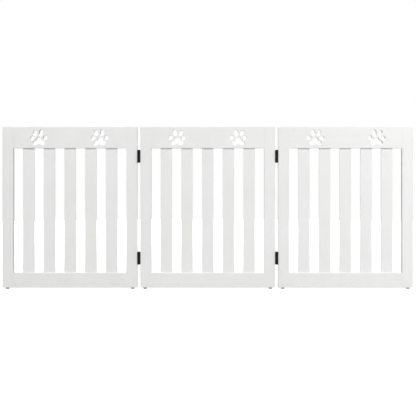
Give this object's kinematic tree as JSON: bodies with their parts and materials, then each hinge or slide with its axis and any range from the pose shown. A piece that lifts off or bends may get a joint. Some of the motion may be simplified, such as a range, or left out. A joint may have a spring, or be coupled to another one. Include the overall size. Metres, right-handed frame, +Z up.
{
  "type": "folding pet gate",
  "caption": "Free-standing folding pet gate: slatted white panels with paw-shaped cut-outs in the top rails, joined edge to edge by black double-action hinges that fold either way.",
  "frame": {"origin": "on the floor, under the middle of the gate", "axes": "+X along the gate to the right as seen from the front, the front faces -Y, +Z up; the gate stands open flat at rest"},
  "size_m": [1.544, 0.0296, 0.61],
  "materials": {
    "white_paint": "satin white paint over fibreboard",
    "dowel_wood": "bare beech",
    "glide_plastic": "matte grey",
    "nail_steel": "zinc plated",
    "hinge_steel": "satin black coat",
    "pin_steel": "satin black, worn at the heads",
    "screw_steel": "black oxide"
  },
  "bodies": {
    "middle_panel": {"middle_panel_left_stile": "white_paint", "middle_panel_right_stile": "white_paint", "middle_panel_top_rail": "white_paint", "middle_panel_bottom_rail": "white_paint", "middle_panel_slat_1": "white_paint", "middle_panel_slat_2": "white_paint", "middle_panel_slat_3": "white_paint", "middle_panel_slat_4": "white_paint", "middle_panel_slat_5": "white_paint", "middle_panel_dowels": "dowel_wood", "middle_panel_foot_pads": "glide_plastic", "middle_panel_foot_nails": "nail_steel", "left_seam_upper_hinge_right_leaf": "hinge_steel", "left_seam_lower_hinge_right_leaf": "hinge_steel", "left_seam_right_pins": "pin_steel", "left_seam_right_screws": "screw_steel", "right_seam_upper_hinge_left_leaf": "hinge_steel", "right_seam_lower_hinge_left_leaf": "hinge_steel", "right_seam_left_pins": "pin_steel", "right_seam_left_screws": "screw_steel"},
    "left_panel": {"left_panel_left_stile": "white_paint", "left_panel_right_stile": "white_paint", "left_panel_top_rail": "white_paint", "left_panel_bottom_rail": "white_paint", "left_panel_slat_1": "white_paint", "left_panel_slat_2": "white_paint", "left_panel_slat_3": "white_paint", "left_panel_slat_4": "white_paint", "left_panel_slat_5": "white_paint", "left_panel_dowels": "dowel_wood", "left_panel_foot_pads": "glide_plastic", "left_panel_foot_nails": "nail_steel", "left_seam_upper_hinge_left_leaf": "hinge_steel", "left_seam_lower_hinge_left_leaf": "hinge_steel", "left_seam_left_pins": "pin_steel", "left_seam_left_screws": "screw_steel"},
    "right_panel": {"right_panel_left_stile": "white_paint", "right_panel_right_stile": "white_paint", "right_panel_top_rail": "white_paint", "right_panel_bottom_rail": "white_paint", "right_panel_slat_1": "white_paint", "right_panel_slat_2": "white_paint", "right_panel_slat_3": "white_paint", "right_panel_slat_4": "white_paint", "right_panel_slat_5": "white_paint", "right_panel_dowels": "dowel_wood", "right_panel_foot_pads": "glide_plastic", "right_panel_foot_nails": "nail_steel", "right_seam_upper_hinge_right_leaf": "hinge_steel", "right_seam_lower_hinge_right_leaf": "hinge_steel", "right_seam_right_pins": "pin_steel", "right_seam_right_screws": "screw_steel"},
    "left_upper_links": {"left_seam_upper_hinge_upper_link": "hinge_steel", "left_seam_lower_hinge_upper_link": "hinge_steel"},
    "left_lower_links": {"left_seam_upper_hinge_lower_link": "hinge_steel", "left_seam_lower_hinge_lower_link": "hinge_steel"},
    "right_upper_links": {"right_seam_upper_hinge_upper_link": "hinge_steel", "right_seam_lower_hinge_upper_link": "hinge_steel"},
    "right_lower_links": {"right_seam_upper_hinge_lower_link": "hinge_steel", "right_seam_lower_hinge_lower_link": "hinge_steel"}
  },
  "joints": [
    {"name": "left_back_fold", "type": "hinge", "parent": "middle_panel", "child": "left_upper_links", "pos_m": [-0.25925, 0.009, 0.305], "axis": [0, 0, -1], "range_deg": [0, 105]},
    {"name": "left_front_fold", "type": "hinge", "parent": "left_upper_links", "child": "left_panel", "pos_m": [-0.25925, -0.009, 0.305], "axis": [0, 0, 1], "range_deg": [0, 180]},
    {"name": "left_lower_link_turn", "type": "hinge", "parent": "middle_panel", "child": "left_lower_links", "pos_m": [-0.25925, -0.009, 0.305], "axis": [0, 0, 1], "range_deg": [0, 180]},
    {"name": "right_back_fold", "type": "hinge", "parent": "middle_panel", "child": "right_lower_links", "pos_m": [0.25925, 0.009, 0.305], "axis": [0, 0, 1], "range_deg": [0, 180]},
    {"name": "right_front_fold", "type": "hinge", "parent": "right_lower_links", "child": "right_panel", "pos_m": [0.25925, -0.009, 0.305], "axis": [0, 0, -1], "range_deg": [0, 105]},
    {"name": "right_upper_link_turn", "type": "hinge", "parent": "middle_panel", "child": "right_upper_links", "pos_m": [0.25925, -0.009, 0.305], "axis": [0, 0, -1], "range_deg": [0, 105]}
  ],
  "couplings": [
    {"joint": "left_lower_link_turn", "follows": "left_front_fold", "ratio": 1},
    {"joint": "right_upper_link_turn", "follows": "right_front_fold", "ratio": 1}
  ]
}
